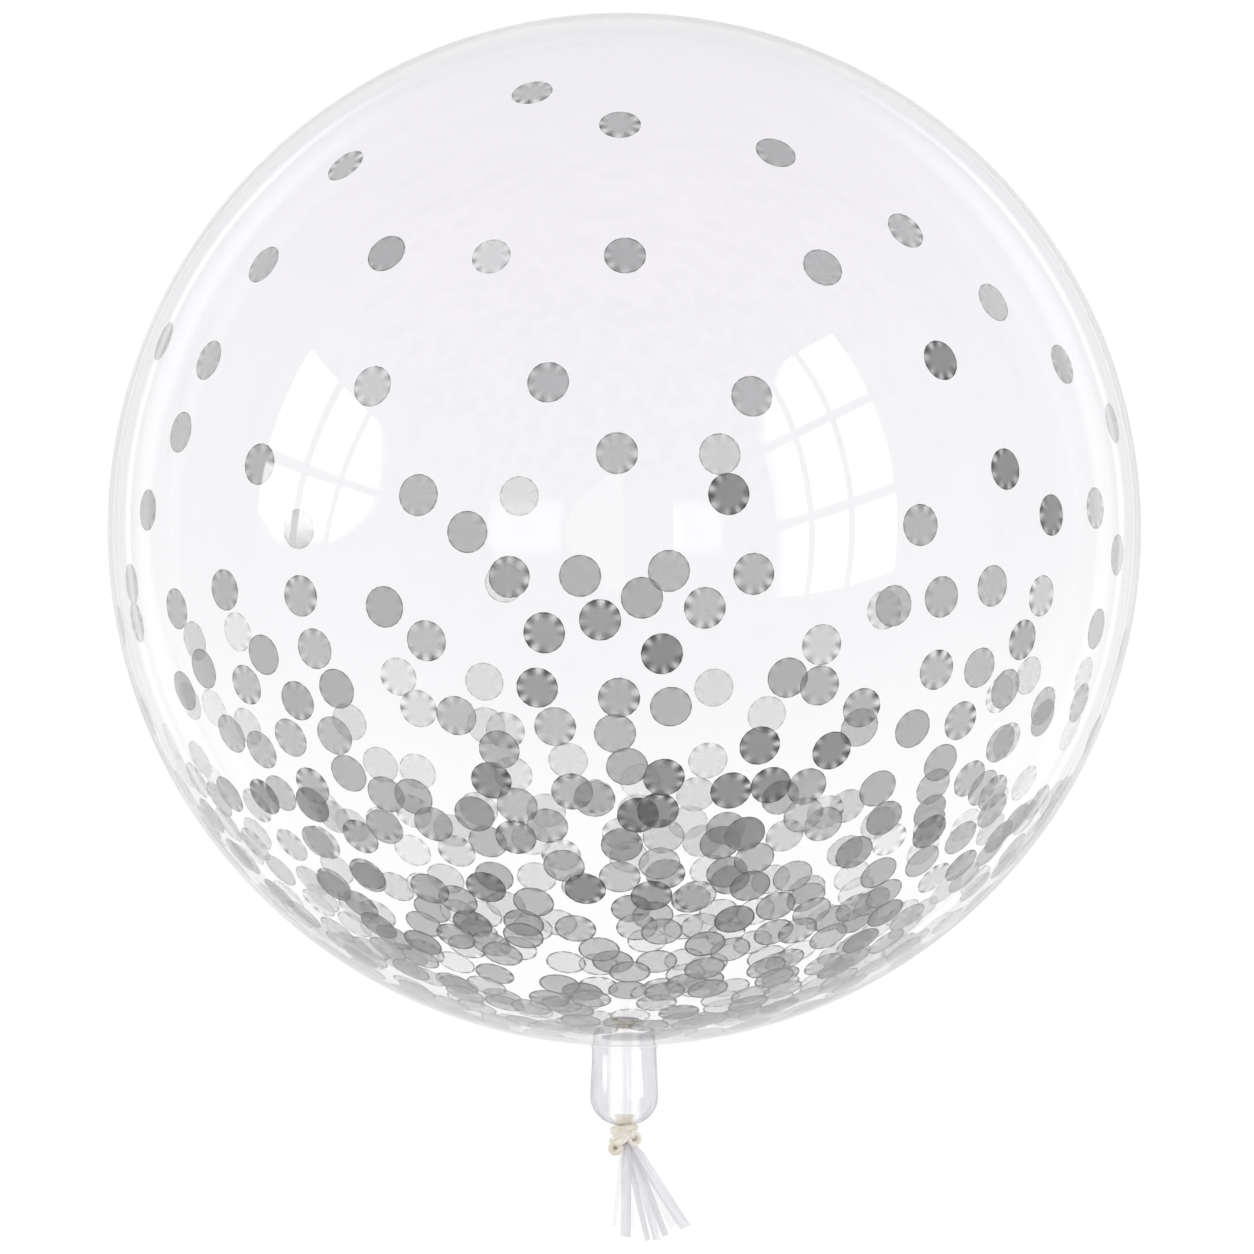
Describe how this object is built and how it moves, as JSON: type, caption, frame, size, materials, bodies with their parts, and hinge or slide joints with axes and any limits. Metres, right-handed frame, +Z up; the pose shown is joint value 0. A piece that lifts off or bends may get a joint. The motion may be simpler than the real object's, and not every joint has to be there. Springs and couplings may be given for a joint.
{
  "type": "clear bubble balloon",
  "caption": "Round clear film bubble balloon with silver confetti inside, a short clear neck, a rubber band knot and a film strip tassel, lying on its side.",
  "frame": {"origin": "centre of the small flat spot under the ball, at floor level", "axes": "+Z up, away from the floor; -Y along the neck towards the tassel, +Y towards the crown; +X to the right when looking down with the neck towards the viewer"},
  "size_m": [0.4996, 0.5951, 0.498],
  "materials": {
    "film": "clear, glossy, faint lavender tint",
    "rubber": "satin ivory",
    "strip_film": "translucent white film",
    "foil": "silver foil"
  },
  "bodies": {
    "root": {"film_envelope": "film", "rubber_band_knot": "rubber", "tassel_strip_1": "strip_film", "tassel_strip_2": "strip_film", "tassel_strip_3": "strip_film", "tassel_strip_4": "strip_film", "tassel_strip_5": "strip_film", "tassel_strip_6": "strip_film", "tassel_strip_7": "strip_film", "tassel_strip_8": "strip_film"}
  },
  "joints": []
}
